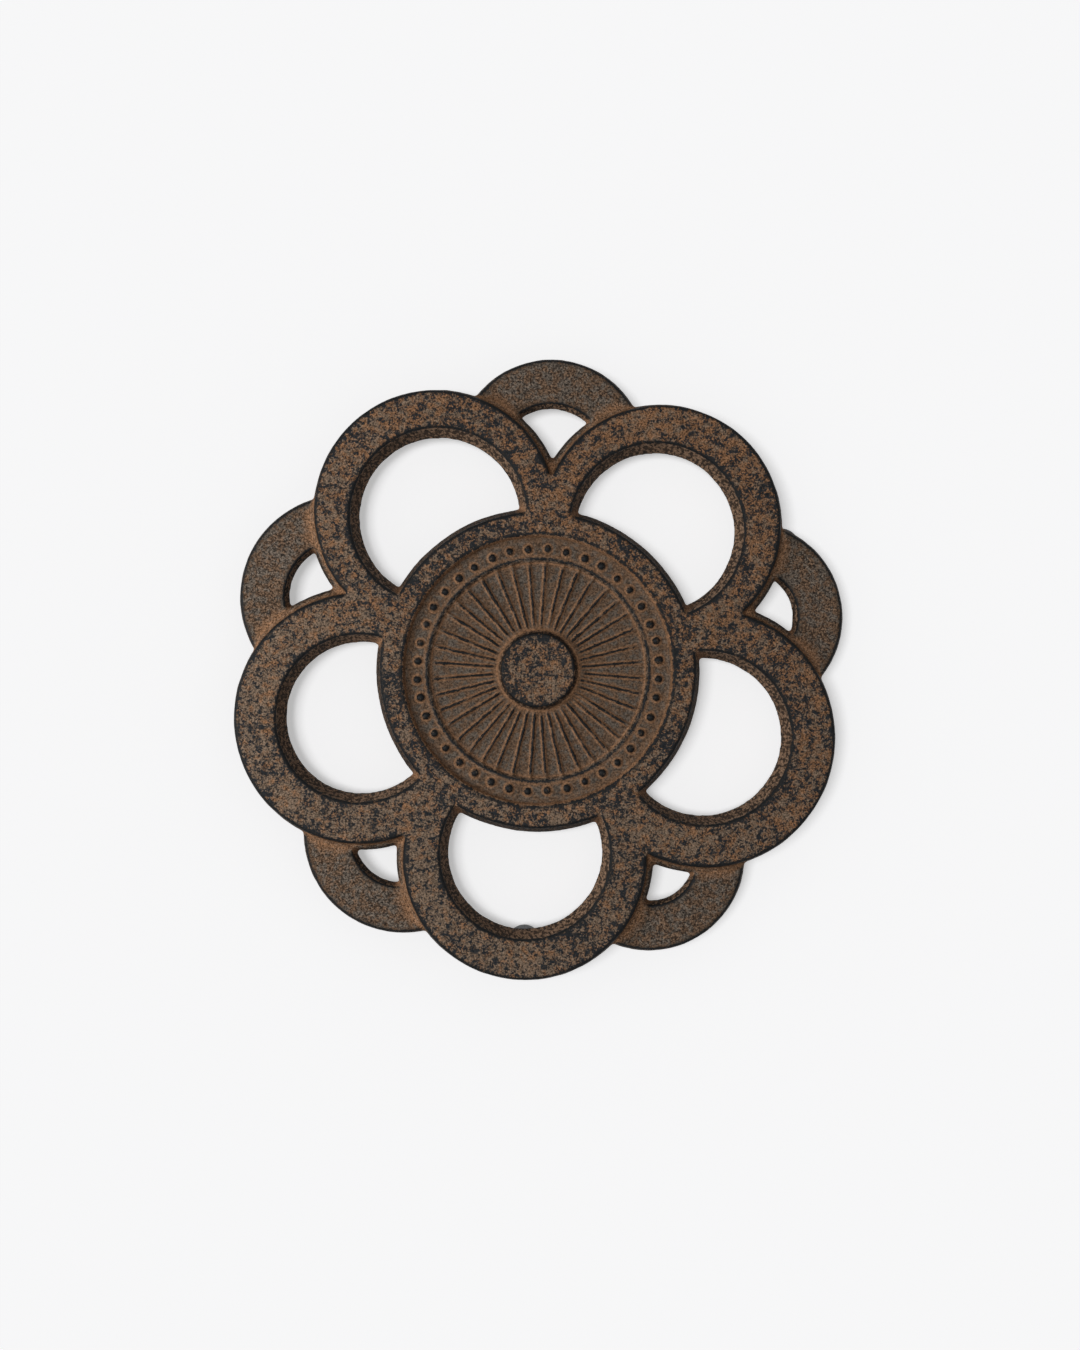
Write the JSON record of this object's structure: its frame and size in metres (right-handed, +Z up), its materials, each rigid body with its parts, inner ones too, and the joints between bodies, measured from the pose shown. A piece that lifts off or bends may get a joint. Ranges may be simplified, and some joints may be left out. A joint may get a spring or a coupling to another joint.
{
  "type": "trivet",
  "caption": "Round openwork cast-iron trivet in the form of a ringed flower with a fluted medallion, standing on rubber foot caps.",
  "frame": {"origin": "on the table under the middle of the flower", "axes": "+Z up out of the face that a pot rests on, -Y through the front ring that has a foot under it"},
  "size_m": [0.1505, 0.155, 0.014],
  "materials": {
    "iron": "rust-brown fired finish, mottled blue-black on the raised faces, matte",
    "foot_rubber": "smooth grey moulded rubber"
  },
  "bodies": {
    "root": {"casting": "iron", "foot_cap_1": "foot_rubber", "foot_cap_2": "foot_rubber", "foot_cap_3": "foot_rubber"}
  },
  "joints": []
}
